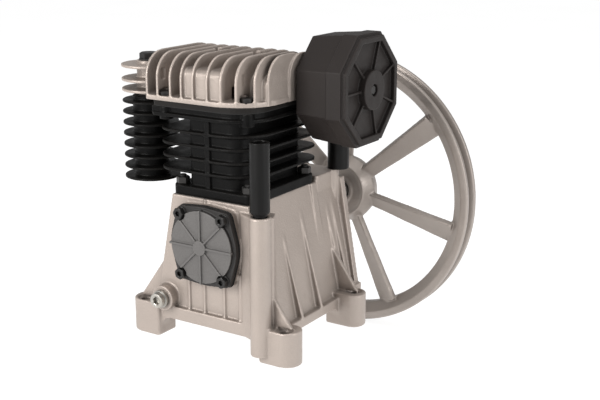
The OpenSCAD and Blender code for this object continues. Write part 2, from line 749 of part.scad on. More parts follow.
module cylinder_head() color(CAST) difference() {
    base = 5;
    union() {
        slab(head_plan, head_z, head_z + base);
        for (x = fin_x)
            along_x(x - head_fin_t / 2, x + head_fin_t / 2)
                polygon(fin_profile(plan_front(x), plan_rear(x), head_h, 25, 36));
        // body of the head between the fins and the bulge over the front valve
        along_x(-62, 49) polygon(fin_profile(-40, 36, core_top, 12, 14));
        along_x(-31, 14) polygon(fin_profile(-64.5, -30, bulge_h, 6, 6));
        // inlet neck and its flange
        rod_x(neck_r, 38, filter_x - eps, inlet_y, inlet_z);
        along_x(neck_x, neck_x + 3) polygon(fin_profile(-5, 50, head_h - 1, 22, 30));
        slab(outline(40, neck_x + 3, -5, 50, [1, 1, 1, 1]), head_z, head_z + base);
        // silver end of the cooler column and its duct
        for (z = cap_fin_z) rod_z(cooler_r, z - 1.6, z + 1.2, cooler_x, cooler_y);
        rod_z(13, head_z - 3, head_z + cap_h, cooler_x, cooler_y);
        rod_x(10, cooler_x, head_x0 + 16, cooler_y, head_z + duct_h);
    }
    // chambers, ports and bolt holes
    chamber(-1, head_z - 1, head_z + duct_h);
    chamber(1, head_z - 1, head_z + duct_h);
    rod_x(8, cooler_x, -10, cooler_y, head_z + duct_h);
    rod_x(inlet_r, 10, filter_x + 1, inlet_y, inlet_z);
    rod_z(9, head_z - 4, head_z + cap_h - 6, cooler_x, cooler_y);
    rod_z(4.4, head_z - 4, head_z + 40, cooler_x, cooler_y, 32);
    head_holes(4.4, head_z - 1, head_z + core_top + 1);
    for (p = head_bolt) rod_z(7.6, head_z + bolt_seat, head_z + 19, p[0], p[1], 32);
    for (p = mid_bolt) rod_z(8, head_z + core_top, head_z + head_h + 1, p[0], p[1], 32);
}

module head_bolts() color(BLACK) {
    for (p = head_bolt) bolt_down(p[0], p[1], head_z + bolt_seat, 13, bolt_head, 3.95, 19.5);
    for (p = mid_bolt) bolt_down(p[0], p[1], head_z + core_top, 13, bolt_head, 3.95, 58);
}

// --- cooler column -------------------------------------------------------------------------------------------

cooler_top = head_z - 3.8;
cooler_foot = cooler_top - cooler_fins * cooler_pitch + 4;
outlet_r = 9.5;
outlet_l = 20;

module cooler_column() color(BLACK) difference() {
    union() {
        rod_z(cooler_body_r, cooler_foot, cooler_top, cooler_x, cooler_y);
        for (i = [1:cooler_fins]) {
            z = cooler_top - 4 - (i - 1) * cooler_pitch;
            rod_z(cooler_r, z - 2.4, z, cooler_x, cooler_y);
        }
    }
    // air passage and the threaded outlet at its foot
    rod_z(9, cooler_foot, cooler_top + 1, cooler_x, cooler_y);
    rod_z(outlet_r, cooler_foot - 1, cooler_foot + outlet_l, cooler_x, cooler_y);
}

module cooler_gasket() color(GASKET) difference() {
    rod_z(15, cooler_top, cooler_top + 0.8, cooler_x, cooler_y);
    rod_z(10, cooler_top - 1, cooler_top + 2, cooler_x, cooler_y);
}

module cooler_bolt() color(BLACK) translate([cooler_x, cooler_y, head_z + cap_h]) {
    cylinder(r = 10.5, h = 1.6);
    cylinder(d = 17 / cos(30), h = 8, $fn = 6);
    translate([0, 0, -5]) cylinder(r = 4.35, h = 5 + eps, $fn = 32);
}

// --- air filter ------------------------------------------------------------------------------------------------

// Regular octagon with flat sides up and down, across flats af
module octagon(af) {
    rotate(22.5) circle(d = af / cos(22.5), $fn = 8);
}

module at_filter(x0, x1, z = filter_z) {
    translate([0, filter_y, z]) along_x(x0, x1) children();
}

split_x = filter_x + 36;
rim_x = filter_x + filter_depth;
back_af = filter_af - 8;
back_t = 4;

module filter_base() color(PLASTIC) difference() {
    union() {
        translate([filter_x, filter_y, filter_z]) rotate([90, 0, 90])
            linear_extrude(split_x - filter_x, scale = (filter_af - 2) / back_af) octagon(back_af);
        rod_x(5.5, filter_x - 2, filter_x + 1, pipe_y, filter_z);
    }
    difference() {
        at_filter(filter_x + back_t, split_x + 1) octagon(back_af - 7);
        // post of the cover screw
        rod_x(7, filter_x, split_x - 2, filter_y, filter_z);
    }
    rod_x(2.4, filter_x + 12, split_x + 1, filter_y, filter_z, 24);
    rod_x(inlet_r, filter_x - 3, filter_x + 8, inlet_y, inlet_z);
    rod_x(3.5, filter_x - 3, filter_x + 8, pipe_y, filter_z, 32);
    for (i = [-3:3])
        translate([filter_x + 8, filter_y + i * 6.5 - 1.5, filter_z - filter_af / 2 - 1]) cube([14, 3, 14]);
}

module filter_element() color([0.75, 0.72, 0.6])
    at_filter(filter_x + back_t + 0.02, rim_x - 8.5) difference() {
        pleats = 36;
        polygon([for (i = [0:2 * pleats - 1])
            (i % 2 == 0 ? 46.5 : 43.5) * [cos(180 * i / pleats), sin(180 * i / pleats)]]);
        circle(39.5);
    }

module filter_cover() color(PLASTIC) difference() {
    border = 9;
    web = rim_x - 5;
    union() {
        at_filter(split_x, rim_x - 4) octagon(filter_af);
        at_filter(rim_x - 4.01, rim_x) octagon(filter_af - 6);
        rod_x(20, rim_x - 6, rim_x + 3, filter_y, filter_z);
    }
    // recessed web with ribs
    difference() {
        at_filter(web, rim_x + 1) octagon(filter_af - 2 * border);
        rod_x(20, web - 1, rim_x + 4, filter_y, filter_z);
        for (a = [22.5, 69, 136, 180, 225, 286, 338])
            translate([web - 1, filter_y, filter_z]) rotate([a, 0, 0])
                translate([0, 0, -1.1]) cube([4.5, 60, 2.2]);
    }
    // hollow inside and the hole of the screw
    at_filter(split_x - 1, web - 3) octagon(filter_af - 6);
    rod_x(6, rim_x - 1, rim_x + 4, filter_y, filter_z);
    rod_x(3, web - 4, rim_x + 4, filter_y, filter_z, 24);
}

module filter_screw() color(BLACK) {
    rod_x(2.35, filter_x + 14, rim_x - 1, filter_y, filter_z, 24);
    translate([rim_x - 1, filter_y, filter_z]) rotate([0, 90, 0]) cylinder(r = 4.5, h = 2.4, $fn = 6);
}

// --- tubes and plugs --------------------------------------------------------------------------------------------

module breather_tube() color(BLACK) difference() {
    foot = shelf_z + 1;
    sleeve_top = 196;
    union() {
        rod_z(11.5, foot, sleeve_top, breather_x, breather_y);
        rod_z(5.5, sleeve_top - 6, filter_z, pipe_x, pipe_y);
        translate([pipe_x, pipe_y, filter_z]) sphere(5.5, $fn = 32);
        rod_x(5.5, pipe_x, filter_x - 2, pipe_y, filter_z);
    }
    rod_z(9, foot + 4, sleeve_top - 4, breather_x, breather_y);
    rod_z(3, foot - 1, foot + 6, vent_x, vent_y, 32);
    rod_z(3.5, sleeve_top - 6, filter_z, pipe_x, pipe_y, 32);
    rod_x(3.5, pipe_x, filter_x, pipe_y, filter_z, 32);
}

module filler_tube() color(BLACK) difference() {
    union() {
        rod_z(9.7, filler_top + 4.5, 219, filler_x, filler_y);
        rod_z(8.6, filler_top + 3, filler_top + 5, filler_x, filler_y);
        rod_z(6.5, filler_top - 16, filler_top + 4, filler_x, filler_y);
    }
    rod_z(5, filler_top - 17, 210, filler_x, filler_y, 32);
    rod_z(7.6, 206, 220, filler_x, filler_y);
}

module oil_plug() color(ZINC) difference() {
    union() {
        rod_y(6.9, plug_y - 2, plug_y + 18, plug_x, plug_z);
        rod_y(9.2, plug_y - 4, plug_y - 2, plug_x, plug_z);
        rod_y(7.8, plug_y - 10, plug_y - 3, plug_x, plug_z);
    }
    translate([plug_x, plug_y - 11, plug_z]) rotate([-90, 0, 0]) cylinder(r = 4.2, h = 5, $fn = 6);
}

module oil_plug_washer() color(ZINC) difference() {
    rod_y(8.8, plug_y - 2, plug_y, plug_x, plug_z);
    rod_y(7, plug_y - 3, plug_y + 1, plug_x, plug_z);
}

// --- flywheel ------------------------------------------------------------------------------------------------------

// Rim with one vee groove, drawn as [radius, y] points
module rim() {
    r = wheel_r;
    mid = wheel_y + rim_w / 2;
    turned([[r - 8.7, wheel_y], [r, wheel_y], [r, mid - 6.5], [r - 11, mid - 3], [r - 11, mid + 3],
            [r, mid + 6.5], [r, wheel_y + rim_w], [r - 13, wheel_y + rim_w],
            [r - 19.5, wheel_y + rim_w - 6], [r - 19.5, wheel_y + 7.5]]);
}

// Fan-blade spoke pointing along +X from the hub to the rim
module spoke() {
    r0 = hub_r - 6;
    r1 = wheel_r - 17;
    root = 15.5;
    tip = 27;
    t = 7;
    translate([0, wheel_y + 9, shaft_z]) rotate([90 + spoke_pitch, 0, 0])
        translate([0, 0, -t / 2]) linear_extrude(t)
            polygon([[r0, -root / 2], [r1, -tip / 2], [r1, tip / 2], [r0, root / 2]]);
}

module flywheel() color(WHEEL) difference() {
    union() {
        rim();
        for (i = [0:spokes - 1])
            translate([0, 0, shaft_z]) rotate([0, -(38 + i * 360 / spokes), 0])
                translate([0, 0, -shaft_z]) spoke();
        turned([[11, hub_y + 2], [14, hub_y], [18, hub_y + 2.5], [28.5, hub_y + 1.2],
                [29.5, hub_y], [hub_r, hub_y], [hub_r + 8, hub_y + 14], [hub_r + 6, hub_y + 24],
                [hub_r - 8, hub_end], [11, hub_end]]);
    }
    translate([-3.02, hub_y - 1, shaft_z]) cube([6.04, hub_end - hub_y + 2, 14.2]);
    rod_y(11, hub_y - 2, hub_end + 1);
}

module flywheel_key() color(STEEL)
    translate([-3, hub_y + 8, shaft_z + 7.02]) cube([6, 25.9, 6.9]);

module flywheel_washer() color(STEEL) difference() {
    rod_y(16, hub_end, hub_end + 3);
    rod_y(4.3, hub_end - 1, hub_end + 4);
}

module flywheel_bolt() color(BLACK) {
    rod_y(3.95, hub_end - 22, hub_end + 4, 0, shaft_z, 32);
    translate([0, hub_end + 3, shaft_z]) rotate([-90, 0, 0]) cylinder(d = 13 / cos(30), h = 5.5, $fn = 6);
}

// --- one line for each node -------------------------------------------------------------------------------------------

crankcase();
front_cover();
cover_gasket();
cover_bolts();
rear_carrier();
carrier_gasket();
carrier_bolts();
front_bearing_outer();
rear_bearing_outer();
shaft_seal();
cylinder_block();
base_gasket();
base_nuts();
deck_gasket();
valve_plate();
head_gasket();
cylinder_head();
head_bolts();
reed_stops();
reed_screws();
cooler_column();
cooler_gasket();
cooler_bolt();
filter_base();
filter_element();
filter_cover();
filter_screw();
breather_tube();
filler_tube();
oil_plug();
oil_plug_washer();
crankshaft();
front_bearing_inner();
rear_bearing_inner();
flywheel();
flywheel_key();
flywheel_bolt();
flywheel_washer();
front_ball_cage();
rear_ball_cage();
web_plug(0);  // web_plug_1
web_plug(1);  // web_plug_2
piston(0);  // piston_1
piston(1);  // piston_2
piston_rings(0);  // piston_rings_1
piston_rings(1);  // piston_rings_2
gudgeon_pin(0);  // gudgeon_pin_1
gudgeon_pin(1);  // gudgeon_pin_2
circlips(0);  // circlips_1
circlips(1);  // circlips_2
con_rod(0);  // con_rod_1
con_rod(1);  // con_rod_2
rod_cap(0);  // rod_cap_1
rod_cap(1);  // rod_cap_2
rod_bolts(0);  // rod_bolts_1
rod_bolts(1);  // rod_bolts_2
suction_reed(0);  // suction_reed_1
suction_reed(1);  // suction_reed_2
discharge_reed(0);  // discharge_reed_1
discharge_reed(1);  // discharge_reed_2
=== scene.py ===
"""Looks of a belt-driven two-cylinder compressor head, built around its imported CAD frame."""
import json
import math

import bmesh
import bpy
from mathutils import Matrix, Vector


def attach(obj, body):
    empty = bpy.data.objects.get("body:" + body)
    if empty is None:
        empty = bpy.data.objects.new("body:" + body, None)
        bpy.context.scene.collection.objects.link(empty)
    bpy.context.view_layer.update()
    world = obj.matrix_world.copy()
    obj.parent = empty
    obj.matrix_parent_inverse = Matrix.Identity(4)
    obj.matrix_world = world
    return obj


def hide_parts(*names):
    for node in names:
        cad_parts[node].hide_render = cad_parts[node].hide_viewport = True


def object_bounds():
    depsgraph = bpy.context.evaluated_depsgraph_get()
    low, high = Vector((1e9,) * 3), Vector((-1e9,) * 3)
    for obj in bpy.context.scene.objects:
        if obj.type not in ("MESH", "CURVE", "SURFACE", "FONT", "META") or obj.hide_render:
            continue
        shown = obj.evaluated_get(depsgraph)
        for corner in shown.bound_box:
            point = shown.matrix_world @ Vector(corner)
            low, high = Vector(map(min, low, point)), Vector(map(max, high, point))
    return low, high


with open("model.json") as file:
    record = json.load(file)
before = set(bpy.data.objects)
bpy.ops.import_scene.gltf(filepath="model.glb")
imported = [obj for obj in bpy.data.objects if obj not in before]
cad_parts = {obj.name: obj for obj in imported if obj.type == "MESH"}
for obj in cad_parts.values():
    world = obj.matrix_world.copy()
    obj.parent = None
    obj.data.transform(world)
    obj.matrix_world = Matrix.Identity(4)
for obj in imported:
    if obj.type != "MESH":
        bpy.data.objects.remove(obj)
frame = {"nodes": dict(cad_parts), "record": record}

MM = 0.001
CAD_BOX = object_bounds()
NODES = frame["nodes"]
BODY_OF = {n: b for b, ns in frame["record"]["behaviour"]["bodies"].items() for n in ns}
SLOT_OF = {s["node"]: s["material_slot"] for s in frame["record"]["subparts"]}
COARSE = 1.0


# --- node graphs ------------------------------------------------------------------------------

class Graph:
    """A material's node tree with short calls for adding nodes and joining them."""

    def __init__(self, name):
        self.material = bpy.data.materials.new(name)
        self.material.use_nodes = True
        self.tree = self.material.node_tree
        self.tree.nodes.clear()
        self.shader = self.add("ShaderNodeBsdfPrincipled")
        out = self.add("ShaderNodeOutputMaterial")
        self.join(self.shader.outputs["BSDF"], out.inputs["Surface"])
        self.place = self.add("ShaderNodeTexCoord").outputs["Object"]

    def add(self, kind, inputs=None, **settings):
        made = self.tree.nodes.new(kind)
        for key, value in settings.items():
            setattr(made, key, value)
        for key, value in (inputs or {}).items():
            self.feed(made.inputs[key], value)
        return made

    def join(self, source, target):
        self.tree.links.new(source, target)

    def feed(self, target, value):
        if isinstance(value, bpy.types.NodeSocket):
            self.join(value, target)
        else:
            target.default_value = value

    def noise(self, scale, detail=3.0, rough=0.55, stretch=(1, 1, 1)):
        place = self.add("ShaderNodeMapping", {"Vector": self.place, "Scale": stretch})
        made = self.add("ShaderNodeTexNoise", {"Vector": place.outputs[0], "Scale": scale,
                                               "Detail": detail, "Roughness": rough})
        return made.outputs["Fac"]

    def cells(self, scale):
        made = self.add("ShaderNodeTexVoronoi", {"Vector": self.place, "Scale": scale})
        return made.outputs["Distance"]

    def ramp(self, value, low, high, to_low=0.0, to_high=1.0):
        made = self.add("ShaderNodeMapRange", {
            "Value": value, "From Min": low, "From Max": high,
            "To Min": to_low, "To Max": to_high})
        return made.outputs["Result"]

    def math(self, kind, a, b):
        made = self.add("ShaderNodeMath", operation=kind)
        self.feed(made.inputs[0], a)
        self.feed(made.inputs[1], b)
        return made.outputs[0]

    def mix(self, share, a, b, blend="MIX"):
        made = self.add("ShaderNodeMix", data_type="RGBA", blend_type=blend)
        self.feed(made.inputs[0], share)
        self.feed(made.inputs[6], a if isinstance(a, bpy.types.NodeSocket) else (*a, 1))
        self.feed(made.inputs[7], b if isinstance(b, bpy.types.NodeSocket) else (*b, 1))
        return made.outputs[2]

    def edges(self, low=0.52, high=0.6):
        """1 along outer edges, 0 on flat ground."""
        return self.ramp(self.add("ShaderNodeNewGeometry").outputs["Pointiness"], low, high)

    def hollows(self, reach, low=0.35, high=0.95):
        """1 deep in a corner, 0 in the open."""
        shade = self.add("ShaderNodeAmbientOcclusion", {"Distance": reach}, samples=6)
        return self.ramp(shade.outputs["AO"], low, high, 1.0, 0.0)

    def bump(self, *layers):
        """Layers are (height, distance in metres); each is laid over the one before."""
        normal = None
        for height, distance in layers:
            inputs = {"Height": height, "Distance": distance, "Strength": 1.0}
            if normal is not None:
                inputs["Normal"] = normal
            normal = self.add("ShaderNodeBump", inputs).outputs["Normal"]
        self.join(normal, self.shader.inputs["Normal"])

    def finish(self, colour, roughness, metallic=0.0, specular=0.5):
        self.feed(self.shader.inputs["Base Color"], colour)
        self.feed(self.shader.inputs["Roughness"], roughness)
        self.feed(self.shader.inputs["Metallic"], metallic)
        self.feed(self.shader.inputs["Specular IOR Level"], specular)
        return self.material


def shade(colour, factor):
    return tuple(c * factor for c in colour)


def casting(name, colour, metallic, roughness, grain, edge, corner_shade):
    """Cast metal: grain of a depth in mm, blotches, a painted highlight along the edges and
    painted shade in the corners.
    """
    g = Graph(name)
    fine = g.noise(950, 4, 0.65)
    pits = g.cells(620)
    blotch = g.noise(16, 5, 0.6)
    ground = g.mix(g.ramp(blotch, 0.3, 0.7), shade(colour, 0.93), shade(colour, 1.05))
    ground = g.mix(g.ramp(fine, 0.35, 0.7, 0.0, 0.3), ground, shade(colour, 1.18))
    ground = g.mix(g.ramp(g.noise(2300, 2), 0.5, 0.75, 0.0, 0.22), ground, shade(colour, 0.72))
    # painted highlight: the colour is lightened along the outer edges
    ground = g.mix(g.math("MULTIPLY", g.edges(0.515, 0.58), 0.8), ground, shade(colour, edge))
    # painted shade: the colour is darkened deep in corners, found by ambient occlusion
    ground = g.mix(g.math("MULTIPLY", g.hollows(0.012), corner_shade), ground, shade(colour, 0.5))
    rough = g.ramp(g.noise(120, 4), 0.3, 0.7, roughness - 0.06, roughness + 0.1)
    g.bump((g.noise(45, 4), 0.0005), (pits, grain * MM), (fine, grain * MM))
    return g.finish(ground, rough, metallic)


def painted_cover(name, face, rim, face_y):
    """Grey casting whose raised disc is rubbed clean while the lower rim keeps its dark paint.

    face_y is the disc's front plane; the paint starts 0.6 to 1.6 mm behind it."""
    g = Graph(name)
    fine = g.noise(950, 4, 0.65)
    depth = g.add("ShaderNodeSeparateXYZ", {"Vector": g.place}).outputs["Y"]
    wander = g.math("MULTIPLY", g.math("SUBTRACT", g.noise(220, 3), 0.5), 0.0012)
    behind = g.ramp(g.math("ADD", depth, wander), face_y + 0.0006, face_y + 0.0016)
    ground = g.mix(g.ramp(fine, 0.3, 0.7), shade(face, 0.86), shade(face, 1.16))
    # painted highlight: the face is lightened along its outer edges
    ground = g.mix(g.math("MULTIPLY", g.edges(0.515, 0.57), 0.8), ground, shade(face, 1.75))
    ground = g.mix(behind, ground, rim)
    # painted shade: darkened deep in corners, found by ambient occlusion
    ground = g.mix(g.math("MULTIPLY", g.hollows(0.006), 0.5), ground, shade(face, 0.35))
    g.bump((g.noise(60, 4), 0.0003), (g.cells(620), 0.0001), (fine, 0.00012))
    return g.finish(ground, g.ramp(g.noise(120, 4), 0.3, 0.7, 0.44, 0.6), 0.15, 0.35)


def black_paint(name, colour, roughness):
    """Satin black paint on a casting, with a speckled painted highlight on upward faces and a
    painted highlight along its edges.
    """
    g = Graph(name)
    fine = g.noise(800, 4, 0.6)
    ground = g.mix(g.ramp(g.noise(22, 5), 0.3, 0.7), colour, shade(colour, 1.7))
    # painted highlight: the black is lightened along the outer edges
    ground = g.mix(g.math("MULTIPLY", g.edges(0.515, 0.575), 0.5), ground, (0.03, 0.027, 0.025))
    # painted highlight: upward faces are lightened in speckles, as if lit from above
    up = g.add("ShaderNodeSeparateXYZ",
               {"Vector": g.add("ShaderNodeNewGeometry").outputs["Normal"]}).outputs["Z"]
    top_highlight = g.math("MULTIPLY", g.ramp(up, 0.6, 1.0, 0.0, 0.25), g.ramp(fine, 0.3, 0.7))
    ground = g.mix(top_highlight, ground, (0.03, 0.028, 0.026))
    rough = g.ramp(g.noise(60, 4), 0.3, 0.7, roughness - 0.07, roughness + 0.1)
    g.bump((g.noise(60, 3), 0.0004), (g.cells(700), 0.00007), (fine, 0.00008))
    return g.finish(ground, rough, 0.0, 0.1)


def moulded_plastic(name, colour, roughness):
    """Injection-moulded plastic with a spark-eroded texture, a painted highlight along its edges
    and painted shade in its hollows.
    """
    g = Graph(name)
    fine = g.noise(1500, 3, 0.6)
    ground = g.mix(g.ramp(g.noise(12, 4), 0.3, 0.7), shade(colour, 0.9), shade(colour, 1.12))
    ground = g.mix(g.ramp(fine, 0.4, 0.75, 0.0, 0.35), ground, shade(colour, 1.5))
    # painted highlight: the colour is lightened along the outer edges
    ground = g.mix(g.math("MULTIPLY", g.edges(0.515, 0.58), 0.5), ground, shade(colour, 2.0))
    # painted shade: darkened deep in hollows, found by ambient occlusion
    ground = g.mix(g.math("MULTIPLY", g.hollows(0.01), 0.6), ground, shade(colour, 0.35))
    rough = g.ramp(g.noise(90, 4), 0.3, 0.7, roughness - 0.05, roughness + 0.08)
    g.bump((g.noise(25, 2), 0.0003), (fine, 0.00005))
    return g.finish(ground, rough, 0.0, 0.2)


def smooth_tube(name, colour, roughness):
    """Smooth black hose with a faint drawn grain along its length."""
    g = Graph(name)
    drawn = g.noise(420, 3, 0.5, (1, 1, 0.04))
    ground = g.mix(g.ramp(drawn, 0.3, 0.7), shade(colour, 0.8), shade(colour, 1.35))
    # painted highlight: the black is lightened threefold along the edges
    ground = g.mix(g.math("MULTIPLY", g.edges(), 0.4), ground, shade(colour, 3.0))
    rough = g.ramp(g.noise(70, 4), 0.3, 0.7, roughness - 0.06, roughness + 0.1)
    g.bump((drawn, 0.00005), (g.noise(900, 2), 0.00002))
    return g.finish(ground, rough, 0.0, 0.2)


def bare_metal(name, colour, roughness, stretch):
    """Turned or rolled metal with a faint tint and fine tool lines, drawn out by stretch."""
    g = Graph(name)
    lines = g.noise(700, 4, 0.6, stretch)
    straw = tuple(c * t for c, t in zip(colour, (0.9, 0.84, 0.72)))
    ground = g.mix(g.ramp(g.noise(60, 4), 0.35, 0.7, 0.0, 0.5), colour, straw)
    # painted shade: darkened deep in hollows, found by ambient occlusion
    ground = g.mix(g.math("MULTIPLY", g.hollows(0.003), 0.7), ground, shade(colour, 0.25))
    rough = g.ramp(lines, 0.3, 0.7, roughness - 0.08, roughness + 0.12)
    g.bump((lines, 0.00003))
    return g.finish(ground, rough, 1.0)


def black_oxide(name):
    """Blackened steel with a painted highlight along its edges and corners."""
    g = Graph(name)
    fine = g.noise(900, 4, 0.6)
    ground = g.mix(g.ramp(fine, 0.3, 0.7), (0.008, 0.0078, 0.0076), (0.02, 0.019, 0.018))
    # painted highlight: the colour is lightened along edges and corners
    ground = g.mix(g.math("MULTIPLY", g.edges(0.505, 0.56), 0.5), ground, (0.045, 0.042, 0.04))
    g.bump((fine, 0.00005))
    return g.finish(ground, g.ramp(g.noise(150, 3), 0.3, 0.7, 0.34, 0.5), 0.2, 0.35)


def gasket(name):
    """Black fibre gasket or rubber, quite matt."""
    g = Graph(name)
    fibre = g.noise(500, 5, 0.7, (1, 1, 3))
    ground = g.mix(g.ramp(fibre, 0.3, 0.7), (0.008, 0.008, 0.008), (0.03, 0.029, 0.028))
    g.bump((fibre, 0.0001))
    return g.finish(ground, 0.7, 0.0, 0.2)


def pleated_paper(name):
    """Resin-treated filter paper."""
    g = Graph(name)
    fibre = g.noise(380, 6, 0.7)
    ground = g.mix(g.ramp(fibre, 0.3, 0.7), (0.5, 0.42, 0.26), (0.68, 0.6, 0.42))
    g.bump((fibre, 0.0002))
    return g.finish(ground, 0.85)


# the kind of finish and its values for each material slot of the record
FINISHES = {
    # in the castings, edge lightens the edges as a painted highlight and the last value darkens
    # the corners as painted shade
    "cast_aluminium": (casting, dict(
        colour=(0.403, 0.345, 0.306), metallic=0.42, roughness=0.41,
        grain=0.14, edge=1.5, corner_shade=0.9)),
    "wheel_casting": (casting, dict(
        colour=(0.37, 0.326, 0.295), metallic=0.5, roughness=0.36,
        grain=0.05, edge=1.5, corner_shade=0.7)),
    "grey_cover": (painted_cover, dict(
        face=(0.125, 0.119, 0.115), rim=(0.028, 0.026, 0.025), face_y=-0.084)),
    "black_casting": (black_paint, dict(colour=(0.0022, 0.002112, 0.002046), roughness=0.4)),
    "black_fasteners": (black_oxide, {}),
    "bright_steel": (bare_metal, dict(colour=(0.6, 0.6, 0.61), roughness=0.3, stretch=(1, 6, 1))),
    "piston_alloy": (bare_metal, dict(
        colour=(0.72, 0.72, 0.72), roughness=0.32, stretch=(1, 1, 8))),
    "zinc": (bare_metal, dict(colour=(0.47, 0.46, 0.44), roughness=0.38, stretch=(1, 1, 1))),
    "seal_black": (gasket, {}),
    "filter_plastic": (moulded_plastic, dict(colour=(0.02, 0.0162, 0.0149), roughness=0.5)),
    "filter_paper": (pleated_paper, {}),
    "black_tube": (smooth_tube, dict(colour=(0.0035, 0.0032, 0.003), roughness=0.36)),
}
MATERIALS = {slot: make(slot, **values) for slot, (make, values) in FINISHES.items()}


# --- mesh helpers -----------------------------------------------------------------------------

def welded(mesh):
    """The imported mesh is split along its creases; this joins it up again in a bmesh."""
    bm = bmesh.new()
    bm.from_mesh(mesh)
    bmesh.ops.remove_doubles(bm, verts=bm.verts, dist=2e-6)
    return bm


def islands(node):
    """Lowest and highest corner of each separate solid of a CAD node."""
    bm = welded(NODES[node].data)
    left, boxes = set(bm.verts), []
    while left:
        stack, part = [left.pop()], []
        while stack:
            vert = stack.pop()
            part.append(vert.co.copy())
            for edge in vert.link_edges:
                other = edge.other_vert(vert)
                if other in left:
                    left.remove(other)
                    stack.append(other)
        boxes.append((Vector(map(min, *part)), Vector(map(max, *part))))
    bm.free()
    return sorted(boxes, key=lambda box: tuple(round(c, 5) for c in box[0]))


def add_piece(name, mesh, node):
    """Puts a mesh in the scene in place of a CAD node, on its body and in its finish."""
    piece = bpy.data.objects.new(name, mesh)
    bpy.context.scene.collection.objects.link(piece)
    mesh.materials.clear()
    mesh.materials.append(MATERIALS[SLOT_OF[node]])
    for polygon in mesh.polygons:
        polygon.use_smooth = True
    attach(piece, BODY_OF[node])
    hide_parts(node)


def rounded_copy(node, voxel, rounds, keep=0.45, added=()):
    """A cast or moulded copy of a CAD node: all its corners and edges are softly rounded.

    voxel is the remesh grid in mm, rounds counts the smoothing passes and keep is the share of
    faces kept. Boxes can be added, as (low corner, high corner) in mm, and melt into the casting.
    """
    mesh = bpy.data.meshes.new(node + "_form")
    bm = welded(NODES[node].data)
    for low, high in added:
        low, high = Vector(low) * MM, Vector(high) * MM
        fit = Matrix.Translation((low + high) / 2) @ Matrix.Diagonal((*(high - low), 1))
        bmesh.ops.create_cube(bm, size=1, matrix=fit)
    bm.to_mesh(mesh)
    bm.free()
    rough = bpy.data.objects.new(node + "_rough", mesh)
    bpy.context.scene.collection.objects.link(rough)
    grid = rough.modifiers.new("grid", "REMESH")
    grid.mode = "VOXEL"
    grid.voxel_size = voxel * MM * COARSE
    soften = rough.modifiers.new("soften", "SMOOTH")
    soften.factor = 0.5
    soften.iterations = rounds
    thin = rough.modifiers.new("thin", "DECIMATE")
    thin.ratio = keep
    graph = bpy.context.evaluated_depsgraph_get()
    final = bpy.data.meshes.new_from_object(rough.evaluated_get(graph))
    bpy.data.objects.remove(rough)
    add_piece(node + "_cast", final, node)


# --- turned fasteners -------------------------------------------------------------------------

SIDES = 72
CHAMFER_SLOPE = math.tan(math.radians(28))
UP, FRONT, BACK = Vector((0, 0, 1)), Vector((0, -1, 0)), Vector((0, 1, 0))


def hexagon(across, less=0.0):
    """Distance from the axis to a hexagon's side, by angle, with less taken off all round."""
    def radius(angle):
        off_side = (angle + math.pi / 6) % (math.pi / 3) - math.pi / 6
        return across / 2 / math.cos(off_side) - less
    return radius


def loft(bm, rings, to_world):
    """Joins rings of (radius, height) in mm, each a number or a call by angle, to one skin."""
    made = []
    for radius, height in rings:
        ring = []
        for i in range(SIDES):
            a = 2 * math.pi * i / SIDES
            r = radius(a) if callable(radius) else radius
            h = height(a) if callable(height) else height
            spot = Vector((r * math.cos(a), r * math.sin(a), h)) * MM
            ring.append(bm.verts.new(to_world @ spot))
        made.append(ring)
    for low, high in zip(made, made[1:]):
        for i in range(SIDES):
            j = (i + 1) % SIDES
            bm.faces.new((low[i], low[j], high[j], high[i]))
    bm.faces.new(tuple(reversed(made[0])))
    bm.faces.new(tuple(made[-1]))


def hexagon_rings(length, across, height, shank_r, washer=None, socket=None, stud_r=None):
    """Rings of a hexagon bolt or nut whose head stands on height 0, its top corners turned off.

    washer is the (radius, thickness) of a washer face, socket the (width across, depth) of a
    hexagon socket, and stud_r the radius of a stud that ends 2 mm above a nut."""
    crown = across / 2 * 0.94
    side = hexagon(across)

    def chamfer(a):
        return height - (side(a) - crown) * CHAMFER_SLOPE

    rings = [(shank_r * 0.8, -length), (shank_r, -length + shank_r * 0.3), (shank_r, 0.0)]
    if washer:
        radius, thick = washer
        rings += [(radius - 0.25, 0.0), (radius, 0.3), (radius, thick * 0.7),
                  (radius - 0.5, thick), (side, thick + 0.1)]
    else:
        rings += [(hexagon(across, 0.25), 0.0), (side, 0.25)]
    rings += [(side, lambda a: chamfer(a) - 0.12), (hexagon(across, 0.15), chamfer),
              (crown, height), (crown - 0.35, height + 0.05)]
    if socket:
        width, depth = socket
        rings += [(width / 2 * 1.25, height), (hexagon(width), height - 0.35),
                  (hexagon(width), height - depth), (0.2, height - depth - 0.6)]
    elif stud_r:
        rings += [(stud_r + 0.5, height), (stud_r + 0.05, height - 0.4), (stud_r, height + 1.4),
                  (stud_r - 0.6, height + 2.0), (0.2, height + 2.05)]
    else:
        rings += [(crown * 0.6, height + 0.05), (0.2, height + 0.1)]
    return rings


def drain_plug_rings(length, height):
    """Rings of a round plug on its washer, with a turned collar and a deep hexagon socket."""
    return [(5.6, -length), (6.9, -length + 1.5), (6.9, 0.0),
            (8.9, 0.05), (9.15, 0.4), (9.15, 1.7), (8.8, 2.05), (8.2, 2.1), (7.75, 2.5),
            (7.75, height - 0.9), (7.4, height - 0.25), (6.7, height - 0.02),
            (5.0, height - 0.02), (hexagon(7.6), height - 0.7), (hexagon(7.4), height - 4.6),
            (0.3, height - 5.6)]


def seated(low, high, axis, head):
    """Where the head of a fastener sits down, and the length below it in mm.

    low and high are the corners of the fastener's box, and head is its head's height in mm."""
    half = abs((high - low).dot(axis)) / 2
    return (low + high) / 2 + axis * (half - head * MM), 2 * half / MM - head


